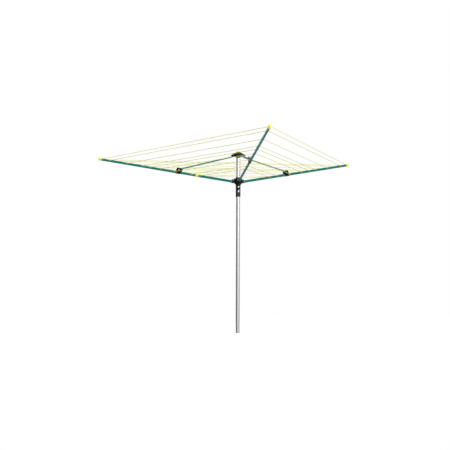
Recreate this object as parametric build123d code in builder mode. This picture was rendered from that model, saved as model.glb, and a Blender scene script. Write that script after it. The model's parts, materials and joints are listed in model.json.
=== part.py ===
from build123d import *

import os
from math import atan2, cos, degrees, hypot, radians, sin, sqrt, tan

# Rotary clothesline with three folding arms. The origin is the middle of the pole's lower end,
# +Z is up and arm 1 points along -Y. Every arm piece is drawn once, on an arm that points
# along +X, and turned into place when it is written out.

# ---- Driving dimensions, in millimetres and degrees ----------------------------------------
arm_turns = (-90, 30, 150)

# Linkage. The strut and the arm of one side have pivots at the same radius and the same length
# to the bracket, so the fold turns them by equal and opposite angles.
pivot_radius = 40.0
top_pivot_z = 1564.0
bracket_pivot = (568.0, 1455.0)
hub_pivot_z = 2 * bracket_pivot[1] - top_pivot_z
arm_elevation = 10.95
bracket_lift = 24.0

# Pole
pole_radius = 17.5
pole_wall = 1.5
pole_top_z = 1538.0
depth_mark_z = 250.0

# Head spindle, on which the upper carrier turns
spindle_radius = 5.0
collar_z = 1541.0
carrier_z = 1544.3
carrier_boss_top_z = 1566.0

# Struts
strut_radius = 6.0
strut_wall = 1.0
strut_inner_bend = (58.0, 1549.7)
strut_outer_bend = (540.0, 1465.5)
strut_gap = 13.2
strut_cheek = 4.0
strut_end = 5.5
strut_bend_radius = 25.0

# Arm tube, a flat-sided oval
arm_width = 16.0
arm_height = 22.0
arm_corner = 6.0
arm_wall = 1.0
tip_radius = 1400.0

# Hub and runner
runner_radius = 21.0
runner_bore = 19.0
runner_bottom_z = 1195.0
runner_top_z = 1364.0
hub_bottom_z = 1308.4
hub_top_z = 1356.0
hub_core_radius = 27.0
root_width = 20.0
hub_cheek = 4.0

# Lines
line_radius = 2.0
line_bend_radius = 5.0
line_bend_side = 13.2
loop_corner_radii = (390.0, 478.0, 642.0, 790.0, 892.0, 970.0, 1124.0, 1306.0, 1394.0)

# Fits: a fixed fit, a running fit and the gap between parts that pass each other
fixed_gap = 0.02
running_gap = 0.05
loose_gap = 0.3

# ---- Frames and helpers --------------------------------------------------------------------
arm_cos = cos(radians(arm_elevation))
arm_sin = sin(radians(arm_elevation))
arm_origin = (bracket_pivot[0] + bracket_lift * arm_sin, bracket_pivot[1] - bracket_lift * arm_cos)

# Side view of the arm: local x runs out along the tube, local y is square to it, upwards.
# The origin is on the tube's axis, right below the bracket's pivot.
arm_side = Plane(
    origin=(arm_origin[0], 0, arm_origin[1]), x_dir=(arm_cos, 0, arm_sin), z_dir=(0, -1, 0)
)


def along_arm(radius):
    """Station on the arm's axis that stands at a radius from the pole."""
    return (radius - arm_origin[0]) / arm_cos


def arm_section(station):
    """Plane square to the arm at a station: local x is sideways, local y is up."""
    origin = arm_side.from_local_coords((station, 0, 0))
    return Plane(origin=origin, x_dir=(0, 1, 0), z_dir=(arm_cos, 0, arm_sin))


def in_arm_frame(radius, height):
    """A point of the arm's vertical plane, as (along, above) on the arm."""
    point = arm_side.to_local_coords(Vector(radius, 0, height))
    return (point.X, point.Y)


def cross_plane(turn, offset=0.0):
    """Upright plane through the pole's axis along an arm's direction, moved sideways."""
    out = Vector(cos(radians(turn)), sin(radians(turn)), 0)
    across = Vector(sin(radians(turn)), -cos(radians(turn)), 0)
    return Plane(origin=across * offset, x_dir=out, z_dir=across)


def write_piece(piece, name):
    piece.label = name
    export_step(piece, f"parts/{name}.step")


def rivet(side_plane, centre, shank_radius, half_grip, head_radius, head_height):
    """A cross pin along the plane's normal, with a domed head at each end."""
    with BuildPart() as pin:
        with BuildSketch(side_plane):
            with Locations(centre):
                Circle(shank_radius)
        extrude(amount=half_grip, both=True)
        for side in (-1, 1):
            with BuildSketch(side_plane.offset(side * half_grip)):
                with Locations(centre):
                    Circle(head_radius)
            extrude(amount=side * head_height)
        rims = pin.edges().filter_by(GeomType.CIRCLE).group_by(SortBy.RADIUS)[-1]
        ends = rims.sort_by(Axis(side_plane.origin, side_plane.z_dir))
        fillet([ends[0], ends[-1]], head_height * 0.6)
    return pin.part


hub_pivot_on_arm = in_arm_frame(pivot_radius, hub_pivot_z)
pole_bore = pole_radius - pole_wall

os.makedirs("parts", exist_ok=True)

# ---- Pole and foot -------------------------------------------------------------------------
mark_depth = 0.4
mark_width = 2.0
lock_hole_z = 1229.0
lock_hole_radius = 4.0

with BuildPart() as pole:
    with BuildSketch(Plane.XY):
        Circle(pole_radius)
        Circle(pole_bore, mode=Mode.SUBTRACT)
    extrude(amount=pole_top_z)
    with BuildSketch(Plane.XY.offset(depth_mark_z)):
        Circle(pole_radius + 1)
        Circle(pole_radius - mark_depth, mode=Mode.SUBTRACT)
    extrude(amount=mark_width, mode=Mode.SUBTRACT)
    with BuildSketch(Plane.XZ):
        with Locations((0, lock_hole_z)):
            Circle(lock_hole_radius)
    extrude(amount=pole_radius + 1, mode=Mode.SUBTRACT)
pole.part.label = "pole"
export_step(pole.part, "parts/pole.step")

foot_plug_depth = 30.0
foot_plug_floor = 3.0
foot_plug_wall = 3.0

with BuildPart() as pole_foot_plug:
    with BuildSketch(Plane.XY):
        Circle(pole_bore - fixed_gap)
    extrude(amount=foot_plug_depth)
    with BuildSketch(Plane.XY.offset(foot_plug_floor)):
        Circle(pole_bore - foot_plug_wall)
    extrude(amount=foot_plug_depth, mode=Mode.SUBTRACT)
pole_foot_plug.part.label = "pole_foot_plug"
export_step(pole_foot_plug.part, "parts/pole_foot_plug.step")

# ---- Head spindle, in the top of the pole --------------------------------------------------
top_plug_depth = 38.0
spindle_bottom_z = 1506.0
spindle_top_z = 1577.0
spindle_chamfer = 0.8
collar_radius = 8.0
collar_height = 2.0
thrust_washer_radius = 12.0
spindle_washer_radius = 10.0
washer_height = 1.2
washer_bore = spindle_radius + 0.1
nut_height = 6.0
nut_across_flats = 16.0
axial_play = 0.1

with BuildPart() as pole_top_plug:
    with BuildSketch(Plane.XY.offset(pole_top_z - top_plug_depth)):
        Circle(pole_bore - fixed_gap)
    extrude(amount=top_plug_depth)
    with BuildSketch(Plane.XY.offset(pole_top_z)):
        Circle(pole_radius - loose_gap)
    extrude(amount=collar_z - pole_top_z)
    with BuildSketch(Plane.XY.offset(pole_top_z - top_plug_depth)):
        Circle(spindle_radius + fixed_gap)
    extrude(amount=top_plug_depth + collar_z - pole_top_z, mode=Mode.SUBTRACT)
pole_top_plug.part.label = "pole_top_plug"
export_step(pole_top_plug.part, "parts/pole_top_plug.step")

with BuildPart() as head_spindle:
    with BuildSketch(Plane.XY.offset(spindle_bottom_z)):
        Circle(spindle_radius)
    extrude(amount=spindle_top_z - spindle_bottom_z)
    chamfer(head_spindle.edges().filter_by(GeomType.CIRCLE), spindle_chamfer)
    with BuildSketch(Plane.XY.offset(collar_z)):
        Circle(collar_radius)
    extrude(amount=collar_height)
head_spindle.part.label = "head_spindle"
export_step(head_spindle.part, "parts/head_spindle.step")

with BuildPart() as thrust_washer:
    with BuildSketch(Plane.XY.offset(collar_z + collar_height)):
        Circle(thrust_washer_radius)
        Circle(washer_bore, mode=Mode.SUBTRACT)
    extrude(amount=washer_height)
thrust_washer.part.label = "thrust_washer"
export_step(thrust_washer.part, "parts/thrust_washer.step")

washer_z = carrier_boss_top_z + axial_play
nut_z = washer_z + washer_height

with BuildPart() as spindle_washer:
    with BuildSketch(Plane.XY.offset(washer_z)):
        Circle(spindle_washer_radius)
        Circle(washer_bore, mode=Mode.SUBTRACT)
    extrude(amount=washer_height)
spindle_washer.part.label = "spindle_washer"
export_step(spindle_washer.part, "parts/spindle_washer.step")

with BuildPart() as spindle_nut:
    with BuildSketch(Plane.XY.offset(nut_z)):
        RegularPolygon(nut_across_flats / 2, 6, major_radius=False)
        Circle(spindle_radius + fixed_gap, mode=Mode.SUBTRACT)
    extrude(amount=nut_height)
spindle_nut.part.label = "spindle_nut"
export_step(spindle_nut.part, "parts/spindle_nut.step")

# ---- Upper carrier, its cap and its pins ---------------------------------------------------
pin_radius = 3.0
pin_head_radius = 5.5
pin_head_height = 2.2
strut_half_grip = strut_gap / 2 + strut_cheek
carrier_plate_radius = 26.0
carrier_plate = 4.0
carrier_boss_radius = 11.0
carrier_lug_radius = 7.5
carrier_lug_foot = 14.0
strut_notch_radius = 21.0
cap_post_circle = 19.5
cap_post_radius = 3.6
cap_screw_radius = 1.5
cap_screw_clearance = 0.2
cap_post_turns = tuple(turn + 60 for turn in arm_turns)

carrier_height = carrier_boss_top_z - carrier_z

with BuildPart() as top_carrier:
    with BuildSketch(Plane.XY.offset(carrier_z)):
        Circle(carrier_plate_radius)
    extrude(amount=carrier_plate)
    with BuildSketch(Plane.XY.offset(carrier_z)):
        Circle(carrier_boss_radius)
    extrude(amount=carrier_height)
    for turn in arm_turns:
        for side in (-1, 1):
            with BuildSketch(cross_plane(turn, side * strut_gap / 2)):
                with Locations((pivot_radius, top_pivot_z)):
                    Circle(carrier_lug_radius)
                with Locations((carrier_lug_foot, carrier_z + carrier_height / 2)):
                    Rectangle(carrier_lug_foot, carrier_height)
                make_hull()
            extrude(amount=side * strut_cheek)
        with BuildSketch(cross_plane(turn)):
            with Locations((pivot_radius, top_pivot_z)):
                Circle(pin_radius + fixed_gap)
        extrude(amount=strut_half_grip + 1, both=True, mode=Mode.SUBTRACT)
        # Notch in the plate's edge, in which the folded strut stands
        with BuildSketch(cross_plane(turn)):
            with Locations((strut_notch_radius, carrier_z)):
                Rectangle(pivot_radius, carrier_plate, align=(Align.MIN, Align.MIN))
        extrude(amount=strut_gap / 2, both=True, mode=Mode.SUBTRACT)
    with BuildSketch(Plane.XY.offset(carrier_z)):
        Circle(spindle_radius + running_gap)
    extrude(amount=carrier_height, mode=Mode.SUBTRACT)
    with BuildSketch(Plane.XY.offset(carrier_z)):
        for turn in cap_post_turns:
            with PolarLocations(cap_post_circle, 1, start_angle=turn):
                Circle(cap_screw_radius + cap_screw_clearance)
    extrude(amount=carrier_plate, mode=Mode.SUBTRACT)
top_carrier.part.label = "top_carrier"
export_step(top_carrier.part, "parts/top_carrier.step")

carrier_pins = []
for turn in arm_turns:
    pin = rivet(
        cross_plane(turn),
        (pivot_radius, top_pivot_z),
        pin_radius,
        strut_half_grip,
        pin_head_radius,
        pin_head_height,
    )
    carrier_pins.append(pin)
write_piece(Compound(children=carrier_pins), "carrier_pins")

# The cap is a low crown over a wide conical brim with a short turned-down rim.
cap_rim_z = 1556.0
cap_outline = ((18, 1592), (22, 1587), (58, 1567), (64.5, 1561), (64.5, cap_rim_z))
cap_inside = ((62.3, cap_rim_z), (62.3, 1560), (57, 1564.8), (20.6, 1585), (17, 1589.4))
cap_post_top_z = 1587.0
cap_crown_round = 2.0


def cap_solid():
    """The cap's whole outer form, without its hollow."""
    with BuildPart() as form:
        with BuildSketch(Plane.XZ):
            with BuildLine():
                Polyline((0, cap_rim_z), (0, cap_outline[0][1]), *cap_outline, (0, cap_rim_z))
            make_face()
        revolve(axis=Axis.Z)
    return form.part


def cap_posts(top_z):
    """Three tubes that stand on the carrier's plate and reach up to a height."""
    with BuildPart() as posts:
        with BuildSketch(Plane.XY.offset(carrier_z + carrier_plate)):
            for turn in cap_post_turns:
                with PolarLocations(cap_post_circle, 1, start_angle=turn):
                    Circle(cap_post_radius)
                    Circle(cap_screw_radius + fixed_gap, mode=Mode.SUBTRACT)
        extrude(amount=top_z - carrier_z - carrier_plate)
    return posts.part


with BuildPart() as posts_in_cap:
    add(cap_solid())
    add(cap_posts(cap_post_top_z), mode=Mode.INTERSECT)

with BuildPart() as top_cap:
    add(cap_solid())
    with BuildSketch(Plane.XZ):
        with BuildLine():
            Polyline((0, cap_rim_z), *cap_inside, (0, cap_inside[-1][1]), (0, cap_rim_z))
        make_face()
    revolve(axis=Axis.Z, mode=Mode.SUBTRACT)
    add(posts_in_cap.part)
    add(cap_posts(cap_rim_z))
    crown = top_cap.edges().filter_by(GeomType.CIRCLE).sort_by(Axis.Z)[-1]
    fillet(crown, cap_crown_round)
top_cap.part.label = "top_cap"
export_step(top_cap.part, "parts/top_cap.step")

cap_screw_head_radius = 3.0
cap_screw_head_height = 2.0
cap_screw_reach = 12.0

with BuildPart() as cap_screws:
    with BuildSketch(Plane.XY.offset(carrier_z - cap_screw_head_height)):
        for turn in cap_post_turns:
            with PolarLocations(cap_post_circle, 1, start_angle=turn):
                Circle(cap_screw_head_radius)
    extrude(amount=cap_screw_head_height)
    with BuildSketch(Plane.XY.offset(carrier_z)):
        for turn in cap_post_turns:
            with PolarLocations(cap_post_circle, 1, start_angle=turn):
                Circle(cap_screw_radius)
    extrude(amount=carrier_plate + cap_screw_reach)
cap_screws.part.label = "cap_screws"
export_step(cap_screws.part, "parts/cap_screws.step")

# ---- Runner: the sleeve that slides on the pole --------------------------------------------
collar_cone_z = 1296.0
collar_flat_z = 1304.0
hub_seat_z = 1308.0
window_width = 22.0
windows = ((1275.0, 1294.0), (1238.0, 1262.0))
lever_z = (1202.0, 1231.0)
lever_width = 24.0
hinge_y = -21.2
hinge_z = 1220.0
hinge_pin_radius = 1.6
hinge_pin_chamfer = 0.3
ear_thickness = 3.0
ear_root = (-10.0, 11.0)
ear_nose = 3.5
lever_opening_margin = 4.0
cut_reach = 40.0

with BuildPart() as runner_sleeve:
    with BuildSketch(Plane.XZ):
        with BuildLine():
            Polyline(
                (runner_bore, runner_bottom_z),
                (runner_radius, runner_bottom_z),
                (runner_radius, collar_cone_z),
                (hub_core_radius, collar_flat_z),
                (hub_core_radius, hub_seat_z),
                (runner_radius, hub_seat_z),
                (runner_radius, runner_top_z),
                (runner_bore, runner_top_z),
                close=True,
            )
        make_face()
    revolve(axis=Axis.Z)
    # Bearing ears of the lock lever, one on each side of its opening
    for side in (-1, 1):
        with BuildSketch(Plane.YZ.offset(side * (lever_width / 2 + loose_gap))):
            with BuildLine():
                Polyline(
                    (ear_root[0], hinge_z - ear_root[1]),
                    (hinge_y - ear_nose, hinge_z - ear_nose),
                    (hinge_y - ear_nose, hinge_z + ear_nose),
                    (ear_root[0], hinge_z + ear_root[1]),
                    close=True,
                )
            make_face()
        extrude(amount=side * ear_thickness)
    with BuildSketch(Plane.XY.offset(runner_bottom_z)):
        Circle(runner_bore)
    extrude(amount=runner_top_z - runner_bottom_z, mode=Mode.SUBTRACT)
    # Two triangular windows, through which the pole shows
    with BuildSketch(Plane.XZ):
        for low, high in windows:
            with BuildLine():
                Polyline(
                    (-window_width / 2, low),
                    (window_width / 2, low),
                    (window_width / 2, high),
                    close=True,
                )
            make_face()
    extrude(amount=cut_reach, mode=Mode.SUBTRACT)
    # Opening behind the lock lever
    with BuildSketch(Plane.XZ):
        with Locations((0, (lever_z[0] + lever_z[1]) / 2 + 1)):
            Rectangle(
                lever_width + 2 * loose_gap, lever_z[1] - lever_z[0] + lever_opening_margin
            )
    extrude(amount=cut_reach, mode=Mode.SUBTRACT)
    with BuildSketch(Plane.YZ):
        with Locations((hinge_y, hinge_z)):
            Circle(hinge_pin_radius + fixed_gap)
    extrude(amount=cut_reach, both=True, mode=Mode.SUBTRACT)
runner_sleeve.part.label = "runner_sleeve"
export_step(runner_sleeve.part, "parts/runner_sleeve.step")

bush_flange = 2.0
upper_bush_depth = 26.0
lower_bush_depth = 6.0

with BuildPart() as runner_bush_upper:
    with BuildSketch(Plane.XY.offset(runner_top_z - upper_bush_depth)):
        Circle(runner_bore - fixed_gap)
    extrude(amount=upper_bush_depth)
    with BuildSketch(Plane.XY.offset(runner_top_z)):
        Circle(runner_radius)
    extrude(amount=bush_flange)
    with BuildSketch(Plane.XY.offset(runner_top_z - upper_bush_depth)):
        Circle(pole_radius + running_gap)
    extrude(amount=upper_bush_depth + bush_flange, mode=Mode.SUBTRACT)
runner_bush_upper.part.label = "runner_bush_upper"
export_step(runner_bush_upper.part, "parts/runner_bush_upper.step")

with BuildPart() as runner_bush_lower:
    with BuildSketch(Plane.XY.offset(runner_bottom_z)):
        Circle(runner_bore - fixed_gap)
    extrude(amount=lower_bush_depth)
    with BuildSketch(Plane.XY.offset(runner_bottom_z - bush_flange)):
        Circle(runner_radius)
    extrude(amount=bush_flange)
    with BuildSketch(Plane.XY.offset(runner_bottom_z - bush_flange)):
        Circle(pole_radius + running_gap)
    extrude(amount=lower_bush_depth + bush_flange, mode=Mode.SUBTRACT)
runner_bush_lower.part.label = "runner_bush_lower"
export_step(runner_bush_lower.part, "parts/runner_bush_lower.step")

# ---- Lock lever, its hinge pin and its spring ----------------------------------------------
barrel_radius = 3.0
lever_plate = 2.4
tooth_height = 4.0
tooth_width = 5.0
tooth_stand_off = 0.4
spring_gap = 10.0
spring_coil_radius = 2.55
spring_wire_radius = 0.45
spring_pitch = 1.3
spring_turns = 6
lever_back = hinge_y - barrel_radius
lever_corner = 2.5
grip_groove_radius = 0.7
grip_groove_pitch = 3.0
grip_groove_margin = 3.0
grip_groove_count = 4

with BuildPart() as lock_lever:
    with BuildSketch(Plane.YZ.offset(-lever_width / 2)):
        with Locations((lever_back - lever_plate / 2, (lever_z[0] + lever_z[1]) / 2)):
            Rectangle(lever_plate, lever_z[1] - lever_z[0])
        with Locations((hinge_y, hinge_z)):
            Circle(barrel_radius)
        with Locations((hinge_y - barrel_radius / 2, hinge_z)):
            Rectangle(barrel_radius, 2 * barrel_radius)
    extrude(amount=lever_width)
    corners = lock_lever.edges().filter_by(Axis.Y)
    fillet(corners, lever_corner)
    with BuildSketch(Plane.YZ.offset(-spring_gap / 2)):
        with Locations((lever_back + barrel_radius, hinge_z)):
            Rectangle(2 * barrel_radius, 2 * barrel_radius + 1)
    extrude(amount=spring_gap, mode=Mode.SUBTRACT)
    with BuildSketch(Plane.YZ.offset(-tooth_width / 2)):
        with BuildLine():
            Polyline(
                (lever_back, lock_hole_z - tooth_height / 2),
                (-pole_radius - tooth_stand_off, lock_hole_z - tooth_height / 2),
                (-pole_radius - tooth_stand_off, lock_hole_z + tooth_height / 4),
                (lever_back, lock_hole_z + tooth_height / 2),
                close=True,
            )
        make_face()
    extrude(amount=tooth_width)
    with BuildSketch(Plane.YZ.offset(-lever_width / 2)):
        with Locations((hinge_y, hinge_z)):
            Circle(hinge_pin_radius + running_gap)
    extrude(amount=lever_width, mode=Mode.SUBTRACT)
    # Finger grooves on the lower half
    with BuildSketch(Plane.YZ.offset(-lever_width / 2 + grip_groove_margin)):
        for groove in range(1, grip_groove_count + 1):
            with Locations((lever_back - lever_plate, lever_z[0] + grip_groove_pitch * groove)):
                Circle(grip_groove_radius)
    extrude(amount=lever_width - 2 * grip_groove_margin, mode=Mode.SUBTRACT)
lock_lever.part.label = "lock_lever"
export_step(lock_lever.part, "parts/lock_lever.step")

with BuildPart() as lock_lever_pin:
    with BuildSketch(Plane.YZ):
        with Locations((hinge_y, hinge_z)):
            Circle(hinge_pin_radius)
    extrude(amount=lever_width / 2 + loose_gap + ear_thickness, both=True)
    chamfer(lock_lever_pin.edges().filter_by(GeomType.CIRCLE), hinge_pin_chamfer)
lock_lever_pin.part.label = "lock_lever_pin"
export_step(lock_lever_pin.part, "parts/lock_lever_pin.step")

spring_start = (-spring_pitch * spring_turns / 2, hinge_y, hinge_z)

with BuildPart() as lock_spring:
    with BuildLine():
        coil = Helix(
            pitch=spring_pitch,
            height=spring_pitch * spring_turns,
            radius=spring_coil_radius,
            center=spring_start,
            direction=(1, 0, 0),
        )
    with BuildSketch(Plane(origin=coil @ 0, z_dir=coil % 0)):
        Circle(spring_wire_radius)
    sweep(path=coil)
lock_spring.part.label = "lock_spring"
export_step(lock_spring.part, "parts/lock_spring.step")

# ---- Hub, which turns on the runner's neck -------------------------------------------------
hub_pin_radius = 3.5
hub_pin_head_radius = 6.5
hub_pin_head_height = 2.5
hub_lug_radius = 8.5
hub_lug_foot = (23.0, 10.0)
retainer_radius = 24.5
retainer_height = 3.0
retainer_chamfer = 0.8
hub_cheek_start = root_width / 2 + loose_gap
hub_half_grip = hub_cheek_start + hub_cheek

with BuildPart() as hub:
    with BuildSketch(Plane.XY.offset(hub_bottom_z)):
        Circle(hub_core_radius)
    extrude(amount=hub_top_z - hub_bottom_z)
    for turn in arm_turns:
        for side in (-1, 1):
            with BuildSketch(cross_plane(turn, side * hub_cheek_start)):
                with Locations((pivot_radius, hub_pivot_z)):
                    Circle(hub_lug_radius)
                with Locations((hub_lug_foot[0], (hub_bottom_z + hub_top_z) / 2)):
                    Rectangle(hub_lug_foot[1], hub_top_z - hub_bottom_z)
                make_hull()
            extrude(amount=side * hub_cheek)
        with BuildSketch(cross_plane(turn)):
            with Locations((pivot_radius, hub_pivot_z)):
                Circle(hub_pin_radius + fixed_gap)
        extrude(amount=hub_half_grip + 1, both=True, mode=Mode.SUBTRACT)
    with BuildSketch(Plane.XY.offset(hub_bottom_z)):
        Circle(runner_radius + running_gap)
    extrude(amount=hub_top_z - hub_bottom_z, mode=Mode.SUBTRACT)
hub.part.label = "hub"
export_step(hub.part, "parts/hub.step")

hub_pins = []
for turn in arm_turns:
    pin = rivet(
        cross_plane(turn),
        (pivot_radius, hub_pivot_z),
        hub_pin_radius,
        hub_half_grip,
        hub_pin_head_radius,
        hub_pin_head_height,
    )
    hub_pins.append(pin)
write_piece(Compound(children=hub_pins), "hub_pins")

with BuildPart() as hub_retainer:
    with BuildSketch(Plane.XY.offset(hub_top_z + loose_gap)):
        Circle(retainer_radius)
        Circle(runner_radius + fixed_gap, mode=Mode.SUBTRACT)
    extrude(amount=retainer_height)
    chamfer(hub_retainer.edges().group_by(Axis.Z)[-1], retainer_chamfer)
hub_retainer.part.label = "hub_retainer"
export_step(hub_retainer.part, "parts/hub_retainer.step")

# ---- One strut, on an arm along +X ---------------------------------------------------------


def beyond(pivot, bend):
    """Tube end, a little past a pivot on the line from its bend."""
    span = hypot(pivot[0] - bend[0], pivot[1] - bend[1])
    share = 1 + strut_end / span
    return (bend[0] + (pivot[0] - bend[0]) * share, bend[1] + (pivot[1] - bend[1]) * share)


top_pivot = (pivot_radius, top_pivot_z)

with BuildPart() as strut:
    with BuildLine(Plane.XZ) as strut_path:
        FilletPolyline(
            beyond(top_pivot, strut_inner_bend),
            strut_inner_bend,
            strut_outer_bend,
            beyond(bracket_pivot, strut_outer_bend),
            radius=strut_bend_radius,
        )
    with BuildSketch(Plane(origin=strut_path.line @ 0, z_dir=strut_path.line % 0)):
        Circle(strut_radius)
        Circle(strut_radius - strut_wall, mode=Mode.SUBTRACT)
    sweep(path=strut_path.line)
    with BuildSketch(Plane.XZ):
        with Locations(top_pivot, bracket_pivot):
            Circle(pin_radius + running_gap)
    extrude(amount=strut_radius + 1, both=True, mode=Mode.SUBTRACT)

# ---- One arm: tube, root, bracket, eyelets, end cap and their fasteners --------------------
root_back = -540.0
tube_start = -535.0
root_end = -519.0
root_wall_height = 2.5
root_rivet_station = -526.0
root_rivet_radius = 2.5
root_rivet_head = (4.2, 1.6)
cap_start = along_arm(1362.0)
tip_station = along_arm(tip_radius)
end_cap_solid = 6.5
end_cap_round = 4.0
tube_end = tip_station - end_cap_solid
cap_wall = 1.8
eyelet_radius = 3.0
eyelet_flange_radius = 4.6
eyelet_flange = 1.2
eyelet_bore = 2.2
eyelet_barrel = arm_wall + 0.8
bracket_screw_station = 22.0
bracket_screw_radius = 2.0
bracket_screw_head = (3.6, 1.6)
bracket_half_width = strut_gap / 2 + strut_cheek
bracket_wall = bracket_half_width - arm_width / 2
bracket_span = (-17.0, 30.0)
bracket_cheek = ((-17, 0), (-25, 14), (-27, 36), (-24, 42), (17, 42), (22, 36), (30, 12), (30, 0))

# A loop's straight spans, drawn on, would cross the arm this far outside its hole.
corner_offset = line_bend_side / tan(radians(30))
hole_radii = [corner - corner_offset for corner in loop_corner_radii]
hole_stations = [along_arm(radius) for radius in hole_radii]
eyelet_stations = hole_stations[:-1]
cap_hole_station = hole_stations[-1]


def arm_profile(grow=0.0):
    """Outline of the arm tube, grown by a margin all round."""
    return RectangleRounded(arm_width + 2 * grow, arm_height + 2 * grow, arm_corner + grow)


with BuildPart() as arm_tube:
    with BuildSketch(arm_section(tube_start)):
        arm_profile()
        RectangleRounded(
            arm_width - 2 * arm_wall,
            arm_height - 2 * arm_wall,
            arm_corner - arm_wall,
            mode=Mode.SUBTRACT,
        )
    extrude(amount=tube_end - tube_start)
    with BuildSketch(arm_side):
        with Locations(*[(station, 0) for station in hole_stations]):
            Circle(eyelet_radius + fixed_gap)
        with Locations((root_rivet_station, 0)):
            Circle(root_rivet_radius + fixed_gap)
        with Locations((bracket_screw_station, 0)):
            Circle(bracket_screw_radius + fixed_gap)
    extrude(amount=arm_width, both=True, mode=Mode.SUBTRACT)

with BuildPart() as arm_root:
    with BuildSketch(arm_side):
        with Locations(hub_pivot_on_arm):
            Circle(hub_lug_radius)
        with Locations(((root_back + root_end) / 2, 0)):
            Rectangle(root_end - root_back, arm_height + 2 * root_wall_height)
        make_hull()
    extrude(amount=root_width / 2, both=True)
    with BuildSketch(arm_section(tube_start)):
        arm_profile(fixed_gap)
    extrude(amount=root_end - tube_start, mode=Mode.SUBTRACT)
    with BuildSketch(arm_side):
        with Locations(hub_pivot_on_arm):
            Circle(hub_pin_radius + running_gap)
        with Locations((root_rivet_station, 0)):
            Circle(root_rivet_radius + fixed_gap)
    extrude(amount=root_width, both=True, mode=Mode.SUBTRACT)

arm_root_rivet = rivet(
    arm_side, (root_rivet_station, 0), root_rivet_radius, root_width / 2, *root_rivet_head
)

with BuildPart() as strut_bracket:
    # Clamp round the arm tube
    with BuildSketch(arm_section(bracket_span[0])):
        arm_profile(bracket_wall)
    extrude(amount=bracket_span[1] - bracket_span[0])
    # Cheeks that hold the strut's pin
    for side in (-1, 1):
        with BuildSketch(arm_side.offset(side * strut_gap / 2)):
            with BuildLine():
                Polyline(*bracket_cheek, close=True)
            make_face()
        extrude(amount=side * strut_cheek)
    with BuildSketch(arm_section(bracket_cheek[2][0])):
        arm_profile(fixed_gap)
    extrude(amount=bracket_span[1] - bracket_cheek[2][0], mode=Mode.SUBTRACT)
    with BuildSketch(arm_side):
        with Locations((0, bracket_lift)):
            Circle(pin_radius + fixed_gap)
        with Locations((bracket_screw_station, 0)):
            Circle(bracket_screw_radius + fixed_gap)
    extrude(amount=arm_width, both=True, mode=Mode.SUBTRACT)

bracket_pin = rivet(
    arm_side, (0, bracket_lift), pin_radius, strut_half_grip, pin_head_radius, pin_head_height
)
bracket_screw = rivet(
    arm_side,
    (bracket_screw_station, 0),
    bracket_screw_radius,
    bracket_half_width,
    *bracket_screw_head,
)

with BuildPart() as arm_end_cap:
    with BuildSketch(arm_section(cap_start)):
        arm_profile(cap_wall)
    extrude(amount=tip_station - cap_start)
    end_face = arm_end_cap.faces().sort_by(Axis(arm_side.origin, arm_side.x_dir))[-1]
    fillet(end_face.edges(), end_cap_round)
    with BuildSketch(arm_section(cap_start)):
        arm_profile(fixed_gap)
    extrude(amount=tube_end - cap_start, mode=Mode.SUBTRACT)
    with BuildSketch(arm_side):
        with Locations((cap_hole_station, 0)):
            Circle(eyelet_bore)
    extrude(amount=arm_width, both=True, mode=Mode.SUBTRACT)

with BuildPart() as line_eyelets:
    for side in (-1, 1):
        with BuildSketch(arm_side.offset(side * arm_width / 2)):
            with Locations(*[(station, 0) for station in eyelet_stations]):
                Circle(eyelet_flange_radius)
        extrude(amount=side * eyelet_flange)
        with BuildSketch(arm_side.offset(side * (arm_width / 2 - eyelet_barrel))):
            with Locations(*[(station, 0) for station in eyelet_stations]):
                Circle(eyelet_radius)
        extrude(amount=side * eyelet_barrel)
    with BuildSketch(arm_side):
        with Locations(*[(station, 0) for station in eyelet_stations]):
            Circle(eyelet_bore)
    extrude(amount=arm_width, both=True, mode=Mode.SUBTRACT)

# ---- The lines: each loop is three taut pieces, one held by each arm -----------------------
# A piece runs from mid-span, through its arm's two eyelets, to the next mid-span.
mid_span_gap = 0.15

with BuildPart() as lines:
    for corner, radius, station in zip(loop_corner_radii, hole_radii, hole_stations):
        height = arm_origin[1] + station * arm_sin
        half_span = corner * sqrt(3) / 2 - mid_span_gap
        mid_x = corner - half_span * cos(radians(30))
        mid_y = half_span * sin(radians(30))
        with BuildLine(Plane.XY.offset(height)) as line_path:
            FilletPolyline(
                (mid_x, mid_y),
                (radius, line_bend_side),
                (radius, -line_bend_side),
                (mid_x, -mid_y),
                radius=line_bend_radius,
            )
        with BuildSketch(Plane(origin=line_path.line @ 0, z_dir=line_path.line % 0)):
            Circle(line_radius)
        sweep(path=line_path.line)

# ---- Write the three sides -----------------------------------------------------------------
side_pieces = {
    "strut": strut.part,
    "arm_tube": arm_tube.part,
    "arm_root": arm_root.part,
    "arm_root_rivet": arm_root_rivet,
    "strut_bracket": strut_bracket.part,
    "bracket_pin": bracket_pin,
    "bracket_screw": bracket_screw,
    "line_eyelets": line_eyelets.part,
    "arm_end_cap": arm_end_cap.part,
    "lines": lines.part,
}
for number, turn in enumerate(arm_turns, start=1):
    for name, piece in side_pieces.items():
        write_piece(piece.rotate(Axis.Z, turn), f"{name}_{number}")

# ---- Line clip, on arm 3 only --------------------------------------------------------------
clip_span = (along_arm(377.0), along_arm(404.0))
clip_wall = 2.4
clip_slot = 5.0

with BuildPart() as line_clip:
    with BuildSketch(arm_section(clip_span[0])):
        arm_profile(clip_wall)
    extrude(amount=clip_span[1] - clip_span[0])
    with BuildSketch(arm_section(clip_span[0])):
        arm_profile(fixed_gap)
    extrude(amount=clip_span[1] - clip_span[0], mode=Mode.SUBTRACT)
    # Split along the underside, so that it snaps on
    with BuildSketch(arm_section(clip_span[0])):
        with Locations((0, -arm_height / 2)):
            Rectangle(clip_slot, 3 * clip_wall)
    extrude(amount=clip_span[1] - clip_span[0], mode=Mode.SUBTRACT)
write_piece(line_clip.part.rotate(Axis.Z, arm_turns[2]), "line_clip")

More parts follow.
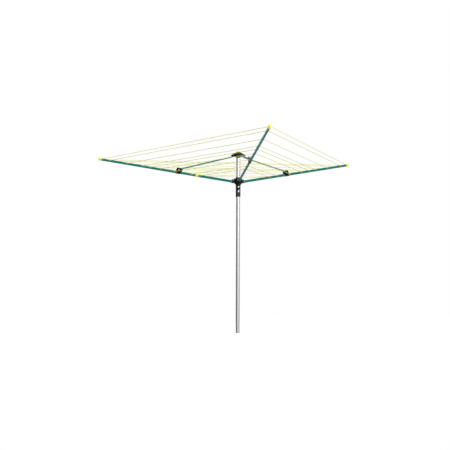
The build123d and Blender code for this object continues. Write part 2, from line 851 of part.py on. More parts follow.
fold_length = hypot(bracket_pivot[0] - pivot_radius, top_pivot_z - bracket_pivot[1])
rest_angle = degrees(atan2(top_pivot_z - bracket_pivot[1], bracket_pivot[0] - pivot_radius))
print("strut length between pivots", fold_length, "angle at rest", rest_angle)
print("line length", sum(corner * 3 * sqrt(3) for corner in loop_corner_radii) / 1000, "m")
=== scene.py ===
import json
from math import cos, hypot, pi, radians, sin, tan

import bmesh
import bpy
from mathutils import Matrix, Vector


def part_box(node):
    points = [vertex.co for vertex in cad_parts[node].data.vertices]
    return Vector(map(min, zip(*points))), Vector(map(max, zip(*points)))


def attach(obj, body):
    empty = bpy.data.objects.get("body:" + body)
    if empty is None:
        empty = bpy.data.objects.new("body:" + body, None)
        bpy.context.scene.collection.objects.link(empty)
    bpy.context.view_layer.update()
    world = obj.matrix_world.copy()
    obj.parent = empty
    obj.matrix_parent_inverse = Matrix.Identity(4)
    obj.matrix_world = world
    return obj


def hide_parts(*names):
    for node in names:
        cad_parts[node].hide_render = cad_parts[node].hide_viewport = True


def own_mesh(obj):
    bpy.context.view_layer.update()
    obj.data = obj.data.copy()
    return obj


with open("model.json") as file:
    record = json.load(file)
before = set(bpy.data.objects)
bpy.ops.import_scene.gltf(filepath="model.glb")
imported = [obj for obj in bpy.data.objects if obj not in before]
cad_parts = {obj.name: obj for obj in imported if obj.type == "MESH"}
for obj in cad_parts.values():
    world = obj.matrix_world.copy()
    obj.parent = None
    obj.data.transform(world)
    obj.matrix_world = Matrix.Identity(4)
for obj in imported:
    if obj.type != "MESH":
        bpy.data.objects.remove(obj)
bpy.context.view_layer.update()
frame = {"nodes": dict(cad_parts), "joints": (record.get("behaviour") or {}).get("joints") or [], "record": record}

bl_info = {
    "name": "Rotary clothesline",
    "version": (1, 0, 0),
    "blender": (4, 5, 0),
    "location": "View3D > Sidebar > Clothesline",
    "description": "Builds the visible pieces of a three-arm rotary clothesline round its CAD frame",
    "category": "Object",
}

MM = 0.001

# ---- Where things are ----------------------------------------------------------------------
# The three arms, by their number and the direction that each points in, in degrees.
ARM_TURNS = {1: -90.0, 2: 30.0, 3: 150.0}

# Outside of an arm tube's section, and the ends of the cap that goes over the tube's tip.
ARM_WIDTH = 16 * MM
ARM_HEIGHT = 22 * MM
ARM_CORNER = 6 * MM
CAP_MOUTH_RADIUS = 1.362
TIP_RADIUS = 1.400

# The top cap's three screws stand on a circle, midway between the arms.
CAP_SCREW_CIRCLE = 19.5 * MM
CAP_SCREW_TURN = 60

# Each loop of line crosses an arm's direction this far from the pole, if its straight spans are
# drawn on. It bends beside the arm, and a span makes this angle with the arm.
LOOP_CORNERS = (0.390, 0.478, 0.642, 0.790, 0.892, 0.970, 1.124, 1.306, 1.394)
LINE_BEND_SIDE = 13.2 * MM
LINE_BEND_RADIUS = 5 * MM
SPAN_SLANT = radians(30)
MID_SPAN_GAP = 0.15 * MM


def centre_of(node):
    """Middle of a CAD node's box."""
    low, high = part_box(node)
    return (low + high) / 2


def out_and_up(point):
    """A point as (distance from the pole, height)."""
    return Vector((hypot(point.x, point.y), point.z))


def arm_turn(number):
    """Turns an arm that points along +X into the arm of that number."""
    return Matrix.Rotation(radians(ARM_TURNS[number]), 4, "Z")


# The arm's axis runs through the middle of its root rivet and of its bracket's screw.
AXIS_IN = out_and_up(centre_of("arm_root_rivet_1"))
AXIS_OUT = out_and_up(centre_of("bracket_screw_1"))
AXIS = (AXIS_OUT - AXIS_IN).normalized()


def axis_point(radius):
    """Point of the arm's axis at a distance from the pole, as (out, side, up)."""
    climb = (radius - AXIS_IN.x) * AXIS.y / AXIS.x
    return Vector((radius, 0, AXIS_IN.y + climb))


def arm_place(number, radius):
    """Matrix from (along, side, above) on the arm, at a distance from the pole."""
    along = Vector((AXIS.x, 0, AXIS.y))
    side = Vector((0, 1, 0))
    above = along.cross(side)
    turned = Matrix((along, side, above)).transposed().to_4x4()
    return arm_turn(number) @ Matrix.Translation(axis_point(radius)) @ turned


def hole_point(corner):
    """Where a loop crosses the arm, as (out, side, up)."""
    return axis_point(corner - LINE_BEND_SIDE / tan(SPAN_SLANT))


def node_points(node, number):
    """Vertices of a CAD node, turned back with its arm to lie along +X."""
    back = arm_turn(number).inverted()
    return [back @ vertex.co for vertex in frame["nodes"][node].data.vertices]


def box_of(points):
    """Lowest and highest corner of some points."""
    low = Vector(min(point[i] for point in points) for i in range(3))
    high = Vector(max(point[i] for point in points) for i in range(3))
    return low, high


def pin_boxes(node):
    """Box of each arm's pin in a CAD node that holds three, by the arm's number."""
    found = {}
    for number in ARM_TURNS:
        points = node_points(node, number)
        found[number] = box_of([point for point in points if point.x > abs(point.y)])
    return found


CARRIER_PINS = pin_boxes("carrier_pins")
HUB_PINS = pin_boxes("hub_pins")


# ---- Settings ------------------------------------------------------------------------------
def colour_setting(name, description, default):
    """A colour that the user can change."""
    return bpy.props.FloatVectorProperty(
        name=name, description=description, default=default, size=3, subtype="COLOR", min=0, max=1
    )


def size_setting(name, description, default, unit="LENGTH"):
    """A length, or another size, that the user can change."""
    return bpy.props.FloatProperty(
        name=name, description=description, default=default, min=0, unit=unit, precision=5
    )


class ClotheslineFinishes(bpy.types.PropertyGroup):
    """Colours of the clothesline's finishes."""

    paint: colour_setting("Arm paint", "Gloss paint on arms and struts", (0.0, 0.185, 0.152))
    black: colour_setting("Black plastic", "Hub, cap, brackets and sleeve", (0.004, 0.0045, 0.005))
    lever: colour_setting("Lever plastic", "Lock lever", (0.040, 0.043, 0.046))
    yellow: colour_setting("Yellow plastic", "End caps and line clip", (0.98, 0.84, 0.02))
    line: colour_setting("Drying line", "Coat of the drying line", (0.70, 0.68, 0.006))
    pole: colour_setting("Pole steel", "Galvanised pole", (0.74, 0.76, 0.78))
    zinc: colour_setting("Plated steel", "Pins, rivets and screws", (0.70, 0.70, 0.72))
    spring: colour_setting("Spring steel", "Spring of the lock lever", (0.42, 0.42, 0.44))
    bush: colour_setting("Bush plastic", "Sliding bushes of the runner", (0.42, 0.42, 0.40))


class ClotheslineSizes(bpy.types.PropertyGroup):
    """Sizes of the clothesline's visible details."""

    line_radius: size_setting("Line radius", "Outer radius of the drying line", 2.0 * MM)
    line_groove: size_setting("Line groove", "Depth of the twisted grooves in the coat", 0.08 * MM)
    line_pitch: size_setting("Line twist", "Length of one turn of the grooves", 60 * MM)
    line_step: size_setting("Line step", "Distance between rings of the line's mesh", 5 * MM)
    edge_round: size_setting("Moulded edges", "Rounding of moulded edges", 0.6 * MM)
    grip_groove: size_setting("Grip groove", "Depth of the end caps' grip grooves", 0.6 * MM)
    cap_dome: size_setting("End cap dome", "Rounding of an end cap's tip", 5.5 * MM)


class ClotheslineStage(bpy.types.PropertyGroup):
    """Camera, light and floor."""

    camera_place: bpy.props.FloatVectorProperty(
        name="Camera place",
        description="Where the camera stands",
        default=(-1.329, -7.857, 0.463),
        size=3,
        subtype="TRANSLATION",
    )
    camera_angles: bpy.props.FloatVectorProperty(
        name="Camera angles",
        description="Turn about Z, tilt from straight down, and roll, in degrees",
        default=(-8.78, 93.46, 0.26),
        size=3,
    )
    camera_lens: size_setting("Camera lens", "Focal length in millimetres", 72.64, "CAMERA")
    floor_colour: colour_setting("Floor", "Pale floor", (0.90, 0.90, 0.90))
    floor_radius: size_setting("Floor radius", "Where the round floor ends", 9.0)
    fade_start: size_setting("Fade start", "Where the floor starts to fade out", 1.6)
    fade_end: size_setting("Fade end", "Where the floor has faded out", 5.4)
    key_power: size_setting("Key light", "Power of the large soft light", 190, "POWER")
    fill_power: size_setting("Fill light", "Power of the small soft light", 90, "POWER")


def settings():
    """The scene's three groups of settings: finishes, sizes and stage."""
    scene = bpy.context.scene
    return scene.clothesline_finishes, scene.clothesline_sizes, scene.clothesline_stage


# ---- Node helpers --------------------------------------------------------------------------
def add_node(tree, kind, sockets=None, **settings_of_node):
    """Adds a node. sockets maps an input's name or number to a value or to another output."""
    made = tree.nodes.new(kind)
    for key, value in settings_of_node.items():
        setattr(made, key, value)
    for key, value in (sockets or {}).items():
        if isinstance(value, bpy.types.NodeSocket):
            tree.links.new(value, made.inputs[key])
        else:
            made.inputs[key].default_value = value
    return made


def mix_colour(tree, share, first, second):
    """Colour that goes from first to second with share."""
    sockets = {0: share, 6: first, 7: second}
    return add_node(tree, "ShaderNodeMix", sockets, data_type="RGBA").outputs[2]


def calculate(tree, operation, first, second):
    """Result of a sum, a product or another operation on two numbers."""
    return add_node(tree, "ShaderNodeMath", {0: first, 1: second}, operation=operation).outputs[0]


def spread(tree, value, low, high, to_low=0.0, to_high=1.0):
    """Maps low..high to to_low..to_high, and holds it there."""
    sockets = {"Value": value, "From Min": low, "From Max": high}
    sockets.update({"To Min": to_low, "To Max": to_high})
    return add_node(tree, "ShaderNodeMapRange", sockets).outputs["Result"]


def noise(tree, place, scale, detail=3.0, roughness=0.5):
    """Noise at a scale per metre."""
    sockets = {"Vector": place, "Scale": scale, "Detail": detail, "Roughness": roughness}
    return add_node(tree, "ShaderNodeTexNoise", sockets).outputs[0]


def shade(colour, factor):
    """A lighter or darker version of a colour, with alpha."""
    return (*[min(1.0, channel * factor) for channel in colour], 1.0)


def start_finish(name, colour, metallic, constants=None):
    """A new material, its tree, its shader and its Object coordinates."""
    material = bpy.data.materials.new(name)
    material.use_nodes = True
    material.diffuse_color = (*colour, 1.0)
    tree = material.node_tree
    shader = tree.nodes["Principled BSDF"]
    shader.inputs["Metallic"].default_value = metallic
    for key, value in (constants or {}).items():
        shader.inputs[key].default_value = value
    place = add_node(tree, "ShaderNodeTexCoord").outputs["Object"]
    return material, tree, shader, place


def stretched(tree, place, scale):
    """Coordinates that are scaled along each axis."""
    return add_node(tree, "ShaderNodeMapping", {"Vector": place, "Scale": scale}).outputs[0]


def finish_bumps(tree, shader, layers, rounding=0.0):
    """Adds bump layers, each (height, distance), over edges that are rounded in shading."""
    normal = None
    if rounding:
        normal = add_node(tree, "ShaderNodeBevel", {"Radius": rounding}, samples=4).outputs[0]
    for height, distance in layers:
        sockets = {"Height": height, "Distance": distance, "Strength": 1.0}
        if normal is not None:
            sockets["Normal"] = normal
        normal = add_node(tree, "ShaderNodeBump", sockets).outputs[0]
    tree.links.new(normal, shader.inputs["Normal"])


def end_finish(tree, shader, colour, roughness, layers, rounding=0.0):
    """Gives a shader its colour, roughness and bump layers, which finish_bumps describes."""
    tree.links.new(colour, shader.inputs["Base Color"])
    tree.links.new(roughness, shader.inputs["Roughness"])
    finish_bumps(tree, shader, layers, rounding)


def clouded(tree, cloud, low, high, colour, darker, lighter):
    """A colour that goes from a darker to a lighter shade as a noise goes from low to high."""
    share = spread(tree, cloud, low, high)
    return mix_colour(tree, share, shade(colour, darker), shade(colour, lighter))


RUBBED_PAINT = (0.18, 0.34, 0.30, 1.0)


def gloss_paint(name, colour):
    """Stoved gloss paint with a faint orange-peel skin, thin rub marks and a little dust."""
    material, tree, shader, place = start_finish(
        name, colour, 0.0, {"Coat Weight": 0.08, "Coat Roughness": 0.15, "Specular IOR Level": 0.2}
    )
    cloud = noise(tree, place, 9.0, 4.0)
    peel = noise(tree, place, 620.0, 2.0)
    rub = noise(tree, stretched(tree, place, (30.0, 30.0, 260.0)), 4.0, 5.0, 0.7)
    body = clouded(tree, cloud, 0.35, 0.68, colour, 0.86, 1.12)
    marks = spread(tree, rub, 0.70, 0.78, 0.0, 0.22)
    worn = mix_colour(tree, marks, body, RUBBED_PAINT)
    roughness = spread(tree, cloud, 0.3, 0.7, 0.24, 0.36)
    end_finish(tree, shader, worn, roughness, ((peel, 0.05 * MM), (rub, 0.02 * MM)))
    return material


def moulded_plastic(name, colour, rough, grain=0.03 * MM, gloss=0.15, soft=0.0):
    """Moulded plastic: fine spark-eroded grain, slow colour changes and lighter scuffs."""
    constants = {"Specular IOR Level": gloss, "Subsurface Weight": soft, "Subsurface Scale": 2 * MM}
    material, tree, shader, place = start_finish(name, colour, 0.0, constants)
    cloud = noise(tree, place, 38.0, 4.0)
    grains = noise(tree, place, 1900.0, 2.0)
    scuff = noise(tree, stretched(tree, place, (1.0, 1.0, 3.5)), 90.0, 6.0, 0.75)
    body = clouded(tree, cloud, 0.3, 0.7, colour, 0.88, 1.1)
    paler = tuple(0.85 * channel + 0.015 for channel in colour)
    rubbed = spread(tree, scuff, 0.66, 0.82, 0.0, 0.3)
    worn = mix_colour(tree, rubbed, body, (*paler, 1.0))
    roughness = spread(tree, scuff, 0.35, 0.75, rough, rough + 0.14)
    end_finish(tree, shader, worn, roughness, ((grains, grain), (cloud, 0.06 * MM)), 0.4 * MM)
    return material


def galvanised_steel(name, colour):
    """Drawn zinc-coated tube: a faint spangle, long drawing lines and rings from the runner."""
    material, tree, shader, place = start_finish(name, colour, 1.0)
    spangle = add_node(tree, "ShaderNodeTexVoronoi", {"Vector": place, "Scale": 95.0})
    flake = add_node(tree, "ShaderNodeSeparateColor", {0: spangle.outputs["Color"]}).outputs[0]
    drawn = noise(tree, stretched(tree, place, (1.0, 1.0, 0.012)), 900.0, 4.0, 0.6)
    bands = noise(tree, stretched(tree, place, (0.15, 0.15, 1.0)), 26.0, 3.0)
    body = mix_colour(tree, flake, shade(colour, 0.97), shade(colour, 1.03))
    streaked = mix_colour(tree, spread(tree, drawn, 0.45, 0.75, 0.0, 0.2), body, shade(colour, 0.8))
    rough = calculate(tree, "MULTIPLY", drawn, bands)
    roughness = spread(tree, rough, 0.12, 0.42, 0.34, 0.42)
    end_finish(tree, shader, streaked, roughness, ((drawn, 0.002 * MM), (bands, 0.008 * MM)))
    return material


def plated_steel(name, colour, rough=0.26):
    """Bright plated steel with a faint yellow and blue passivation and turning marks."""
    material, tree, shader, place = start_finish(name, colour, 1.0)
    cloud = noise(tree, place, 160.0, 3.0)
    fine = noise(tree, place, 2400.0, 2.0)
    warm = (colour[0], colour[1] * 0.95, colour[2] * 0.82, 1.0)
    cool = (colour[0] * 0.86, colour[1] * 0.92, colour[2], 1.0)
    tinted = mix_colour(tree, spread(tree, cloud, 0.36, 0.64), warm, cool)
    roughness = spread(tree, fine, 0.3, 0.7, rough, rough + 0.14)
    end_finish(tree, shader, tinted, roughness, ((fine, 0.015 * MM),), 0.25 * MM)
    return material


def coated_line(name, colour):
    """Plastic coat of the drying line: slightly clear, with clothes-peg marks and fading."""
    constants = {"Subsurface Weight": 0.15, "Subsurface Scale": 1 * MM, "Specular IOR Level": 0.15}
    material, tree, shader, place = start_finish(name, colour, 0.0, constants)
    fade = noise(tree, place, 4.0, 3.0)
    marks = noise(tree, place, 210.0, 4.0, 0.7)
    body = clouded(tree, fade, 0.35, 0.65, colour, 0.92, 1.08)
    worn = mix_colour(tree, spread(tree, marks, 0.6, 0.75, 0.0, 0.3), body, shade(colour, 0.7))
    roughness = spread(tree, marks, 0.3, 0.7, 0.3, 0.5)
    end_finish(tree, shader, worn, roughness, ((marks, 0.03 * MM),))
    return material


FINISHES = {}


def make_finishes():
    """Makes every finish once, under the name of its slot in the record."""
    colours = settings()[0]
    FINISHES["galvanised_pole"] = galvanised_steel("pole_zinc", tuple(colours.pole))
    FINISHES["black_plastic"] = moulded_plastic("black_moulding", tuple(colours.black), 0.34)
    FINISHES["zinc_steel"] = plated_steel("plated_steel", tuple(colours.zinc))
    FINISHES["spring_steel"] = plated_steel("spring_wire", tuple(colours.spring), 0.2)
    FINISHES["grey_plastic"] = moulded_plastic("lever_moulding", tuple(colours.lever), 0.42)
    FINISHES["bush_plastic"] = moulded_plastic(
        "bush_moulding", tuple(colours.bush), 0.4, 0.01 * MM, soft=0.1
    )
    FINISHES["teal_paint"] = gloss_paint("arm_paint", tuple(colours.paint))
    FINISHES["yellow_plastic"] = moulded_plastic(
        "yellow_moulding", tuple(colours.yellow), 0.26, 0.012 * MM, 0.5, 0.06
    )
    eyelet = shade(colours.black, 1.6)[:3]
    FINISHES["eyelet_plastic"] = moulded_plastic("eyelet_moulding", eyelet, 0.3)
    FINISHES["yellow_line"] = coated_line("line_coat", tuple(colours.line))


def finish_of(slot):
    """The finish of a slot in the record."""
    if not FINISHES:
        make_finishes()
    return FINISHES[slot]


def set_finish(piece, slot):
    """Gives a whole piece the finish of a slot."""
    materials = piece.data.materials
    if not materials:
        materials.append(None)
    for index in range(len(materials)):
        materials[index] = finish_of(slot)


def paint_cad(*nodes):
    """Gives CAD nodes, whose shape stays, the finish of their slot in the record."""
    slots = {part["node"]: part["material_slot"] for part in frame["record"]["subparts"]}
    for name in nodes:
        set_finish(frame["nodes"][name], slots[name])


# ---- Mesh helpers --------------------------------------------------------------------------
def new_object(name, mesh):
    """Puts a mesh in the scene, at the origin."""
    made = bpy.data.objects.new(name, mesh)
    bpy.context.scene.collection.objects.link(made)
    return made


# Edges that turn less than this many degrees are shaded smooth.
SMOOTH_ANGLE = 35


def close_mesh(shape, name, smooth_angle=SMOOTH_ANGLE):
    """Turns a bmesh into a mesh with outward normals and smooth faces between sharp edges."""
    bmesh.ops.recalc_face_normals(shape, faces=shape.faces)
    mesh = bpy.data.meshes.new(name)
    shape.to_mesh(mesh)
    shape.free()
    mesh.shade_smooth()
    mesh.set_sharp_from_angle(angle=radians(smooth_angle))
    return mesh


def turned_shape(outline, segments, closed=False):
    """Turns (radius, height) points about Z. An open outline starts and ends on the axis."""
    shape = bmesh.new()
    rings = []
    for radius, height in outline:
        if radius == 0:
            rings.append([shape.verts.new((0, 0, height))])
            continue
        ring = []
        for index in range(segments):
            angle = 2 * pi * index / segments
            ring.append(shape.verts.new((radius * cos(angle), radius * sin(angle), height)))
        rings.append(ring)
    pairs = list(zip(rings, rings[1:]))
    if closed:
        pairs.append((rings[-1], rings[0]))
    for first, second in pairs:
        for index in range(segments):
            after = (index + 1) % segments
            corners = [first[index % len(first)], first[after % len(first)]]
            corners += [second[after % len(second)], second[index % len(second)]]
            shape.faces.new(list(dict.fromkeys(corners)))
    return shape


def round_corner(before, corner, after, radius, steps=4):
    """Points that round a corner of an outline."""
    before, corner, after = Vector(before), Vector(corner), Vector(after)
    to_before = (before - corner).normalized()
    to_after = (after - corner).normalized()
    half = to_before.angle(to_after) / 2
    middle = corner + (to_before + to_after).normalized() * radius / sin(half)
    start = (corner + to_before * radius / tan(half) - middle).normalized()
    end = (corner + to_after * radius / tan(half) - middle).normalized()
    return [tuple(middle + start.slerp(end, step / steps) * radius) for step in range(steps + 1)]


def lofted_shape(outlines):
    """Closed shape through outlines that have as many points each."""
    shape = bmesh.new()
    rings = [[shape.verts.new(point) for point in outline] for outline in outlines]
    for first, second in zip(rings, rings[1:]):
        for index in range(len(first)):
            after = (index + 1) % len(first)
            shape.faces.new((first[index], first[after], second[after], second[index]))
    shape.faces.new(rings[0])
    shape.faces.new(rings[-1])
    return shape


def outline_in_mm(points, lift=0.0):
    """Outline from (radius, height) points in millimetres, with its heights above lift."""
    return [(radius * MM, lift + height * MM) for radius, height in points]


def rounded_outline(points, radii, closed=False):
    """Outline in which corner n is rounded with radius n, where that isn't zero."""
    made = []
    count = len(points)
    for index, (point, radius) in enumerate(zip(points, radii)):
        inner = closed or 0 < index < count - 1
        if radius and inner:
            made += round_corner(points[index - 1], point, points[(index + 1) % count], radius)
        else:
            made.append(tuple(point))
    return made


def tube_section(width, height, corner, steps=6):
    """Closed rounded rectangle, as (side, above) points."""
    points = []
    for quarter, (x_sign, y_sign) in enumerate(((1, 1), (-1, 1), (-1, -1), (1, -1))):
        centre = (x_sign * (width / 2 - corner), y_sign * (height / 2 - corner))
        for step in range(steps + 1):
            angle = pi / 2 * (quarter + step / steps)
            points.append((centre[0] + corner * cos(angle), centre[1] + corner * sin(angle)))
    return points


def finished_mesh(piece):
    """Plain mesh of a piece with its modifiers, which are then gone."""
    bpy.context.view_layer.update()
    graph = bpy.context.evaluated_depsgraph_get()
    made = bpy.data.meshes.new_from_object(piece.evaluated_get(graph))
    made.name = piece.name
    piece.modifiers.clear()
    piece.data = made
    return piece


def boolean_cut(mesh, cutter, name):
    """The mesh with the cutter's volume taken away."""
    body = new_object(name, mesh)
    tool = new_object(f"{name}_tool", cutter)
    cut = body.modifiers.new("Cut", "BOOLEAN")
    cut.operation = "DIFFERENCE"
    cut.solver = "EXACT"
    cut.object = tool
    made = finished_mesh(body).data
    bpy.data.objects.remove(body)
    bpy.data.objects.remove(tool)
    made.shade_smooth()
    made.set_sharp_from_angle(angle=radians(SMOOTH_ANGLE))
    return made


def hand_over(piece, slot, body, node):
    """Gives a piece its finish and its body, and lets it stand for a CAD node."""
    set_finish(piece, slot)
    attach(piece, body)
    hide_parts(node)


# Angle below which two CAD faces count as one, and above which an edge of theirs is rounded.
FLAT_ANGLE = radians(0.6)
SHARP_ANGLE = radians(42)


def soften(node, name, slot, body):
    """Stands a copy of a CAD node, one closed mesh with rounded outer edges, for that node."""
    shape = bmesh.new()
    shape.from_mesh(frame["nodes"][node].data)
    bmesh.ops.remove_doubles(shape, verts=shape.verts, dist=0.002 * MM)
    bmesh.ops.dissolve_limit(shape, angle_limit=FLAT_ANGLE, verts=shape.verts, edges=shape.edges)
    mesh = bpy.data.meshes.new(name)
    shape.to_mesh(mesh)
    shape.free()
    mesh.shade_smooth()
    piece = new_object(name, mesh)
    rounding = piece.modifiers.new("Rounding", "BEVEL")
    rounding.width = settings()[1].edge_round
    rounding.segments = 2
    rounding.limit_method = "ANGLE"
    rounding.angle_limit = SHARP_ANGLE
    evened = piece.modifiers.new("Even shading", "WEIGHTED_NORMAL")
    evened.keep_sharp = False
    hand_over(finished_mesh(piece), slot, body, node)


# ---- Geometry Nodes ------------------------------------------------------------------------
def open_tree(name, inputs):
    """A new geometry tree with a geometry input and named inputs, each (name, type, default)."""
    tree = bpy.data.node_groups.new(name, "GeometryNodeTree")
    tree.interface.new_socket("Geometry", in_out="INPUT", socket_type="NodeSocketGeometry")
    for label, kind, default in inputs:
        socket = tree.interface.new_socket(label, in_out="INPUT", socket_type=kind)
        if default is not None:
            socket.default_value = default
    tree.interface.new_socket("Geometry", in_out="OUTPUT", socket_type="NodeSocketGeometry")
    return tree, tree.nodes.new("NodeGroupInput").outputs


def close_tree(tree, geometry, material):
    """Ends a tree in Realize Instances and Set Material."""
    real = add_node(tree, "GeometryNodeRealizeInstances", {"Geometry": geometry}).outputs[0]
    sockets = {"Geometry": real, "Material": material}
    done = add_node(tree, "GeometryNodeSetMaterial", sockets).outputs[0]
    tree.links.new(done, tree.nodes.new("NodeGroupOutput").inputs[0])
    return tree


def run_tree(piece, tree, values):
    """Runs a tree on a piece, with its inputs set by their identifiers, and keeps the mesh."""
    modifier = piece.modifiers.new(tree.name, "NODES")
    modifier.node_group = tree
    for item in tree.interface.items_tree:
        if item.in_out == "INPUT" and item.name in values:
            modifier[item.identifier] = values[item.name]
    piece.update_tag()
    return finished_mesh(piece)


LINE_SIDES = 12
LINE_STRANDS = 3
BEND_STEPS = 6


def line_tree():
    """Tree that lays a grooved, twisted line along the edges of a mesh, bent at its corners."""
    tree, given = open_tree(
        "line_along_path",
        (
            ("Radius", "NodeSocketFloat", 2.0 * MM),
            ("Groove", "NodeSocketFloat", 0.08 * MM),
            ("Pitch", "NodeSocketFloat", 60 * MM),
            ("Step", "NodeSocketFloat", 5 * MM),
            ("Bend Radius", "NodeSocketFloat", 5 * MM),
            ("Material", "NodeSocketMaterial", None),
        ),
    )
    path = add_node(tree, "GeometryNodeMeshToCurve", {"Mesh": given["Geometry"]}).outputs[0]
    bend = {"Curve": path, "Radius": given["Bend Radius"], "Count": BEND_STEPS}
    bent = add_node(tree, "GeometryNodeFilletCurve", bend, mode="POLY")
    even = add_node(tree, "GeometryNodeResampleCurve", {"Curve": bent.outputs[0]}, mode="LENGTH")
    tree.links.new(given["Step"], even.inputs["Length"])
    reached = add_node(tree, "GeometryNodeSplineParameter").outputs["Length"]
    turns = calculate(tree, "DIVIDE", reached, given["Pitch"])
    tilt = calculate(tree, "MULTIPLY", turns, 2 * pi)
    twisted = add_node(tree, "GeometryNodeSetCurveTilt", {"Curve": even.outputs[0], "Tilt": tilt})
    ring = add_node(tree, "GeometryNodeCurvePrimitiveCircle", {"Radius": given["Radius"]})
    ring.inputs["Resolution"].default_value = LINE_SIDES
    index = add_node(tree, "GeometryNodeInputIndex").outputs[0]
    phase = calculate(tree, "MODULO", index, LINE_SIDES / LINE_STRANDS)
    between_strands = calculate(tree, "LESS_THAN", phase, 0.5)
    depth = calculate(tree, "MULTIPLY", between_strands, given["Groove"])
    inward = calculate(tree, "MULTIPLY", depth, -1.0)
    spot = add_node(tree, "GeometryNodeInputPosition").outputs[0]
    unit = add_node(tree, "ShaderNodeVectorMath", {0: spot}, operation="NORMALIZE").outputs[0]
    move = add_node(tree, "ShaderNodeVectorMath", {0: unit, "Scale": inward}, operation="SCALE")
    sockets = {"Geometry": ring.outputs[0], "Offset": move.outputs[0]}
    grooved = add_node(tree, "GeometryNodeSetPosition", sockets).outputs[0]
    sockets = {"Curve": twisted.outputs[0], "Profile Curve": grooved, "Fill Caps": True}
    skin = add_node(tree, "GeometryNodeCurveToMesh", sockets)
    smooth = add_node(tree, "GeometryNodeSetShadeSmooth", {"Geometry": skin.outputs[0]})
    return close_tree(tree, smooth.outputs[0], given["Material"])


def copies_tree():
    """Tree that sets a copy of a part on each point, its Z along "facing" and X along "along"."""
    tree, given = open_tree(
        "copies_on_points",
        (("Part", "NodeSocketObject", None), ("Material", "NodeSocketMaterial", None)),
    )
    part = add_node(tree, "GeometryNodeObjectInfo", {"Object": given["Part"]})
    axes = []
    for name in ("facing", "along"):
        read = add_node(tree, "GeometryNodeInputNamedAttribute", {"Name": name})
        read.data_type = "FLOAT_VECTOR"
        axes.append(read.outputs["Attribute"])
    turn = add_node(tree, "FunctionNodeAxesToRotation", primary_axis="Z", secondary_axis="X")
    tree.links.new(axes[0], turn.inputs[0])
    tree.links.new(axes[1], turn.inputs[1])
    sockets = {"Points": given["Geometry"], "Instance": part.outputs["Geometry"]}
    placed = add_node(tree, "GeometryNodeInstanceOnPoints", sockets)
    tree.links.new(turn.outputs[0], placed.inputs["Rotation"])
    return close_tree(tree, placed.outputs[0], given["Material"])


TREES = {}


def tree_of(name):
    """A geometry tree, made the first time it is asked for."""
    if name not in TREES:
        TREES[name] = {"line": line_tree, "copies": copies_tree}[name]()
    return TREES[name]


def copies(name, part_mesh, places, slot, body, node):
    """One piece made of copies of a part. places holds (point, facing, along) for each."""
    mesh = bpy.data.meshes.new(name)
    mesh.from_pydata([place[0] for place in places], [], [])
    for index, label in ((1, "facing"), (2, "along")):
        values = [number for place in places for number in place[index]]
        mesh.attributes.new(label, "FLOAT_VECTOR", "POINT").data.foreach_set("vector", values)
    part = bpy.data.objects.new(f"{name}_part", part_mesh)
    values = {"Part": part, "Material": finish_of(slot)}
    piece = run_tree(new_object(name, mesh), tree_of("copies"), values)
    bpy.data.objects.remove(part)
    hand_over(piece, slot, body, node)


def line_piece(name, paths, number):
    """One piece of an arm's drying line, along each path, a list of points."""
    sizes = settings()[1]
    points = [point for path in paths for point in path]
    edges = []
    first = 0
    for path in paths:
        edges += [(first + step, first + step + 1) for step in range(len(path) - 1)]
        first += len(path)
    mesh = bpy.data.meshes.new(name)
    mesh.from_pydata(points, edges, [])
    values = {
        "Radius": sizes.line_radius,
        "Groove": sizes.line_groove,
        "Pitch": sizes.line_pitch,
        "Step": sizes.line_step,
        "Bend Radius": LINE_BEND_RADIUS,
        "Material": finish_of("yellow_line"),
    }
    piece = run_tree(new_object(name, mesh), tree_of("line"), values)
    hand_over(piece, "yellow_line", f"arm_{number}", f"lines_{number}")
    return piece


# ---- Operators -----------------------------------------------------------------------------
LIGHT_TARGET = Vector((0, 0, 1.2))


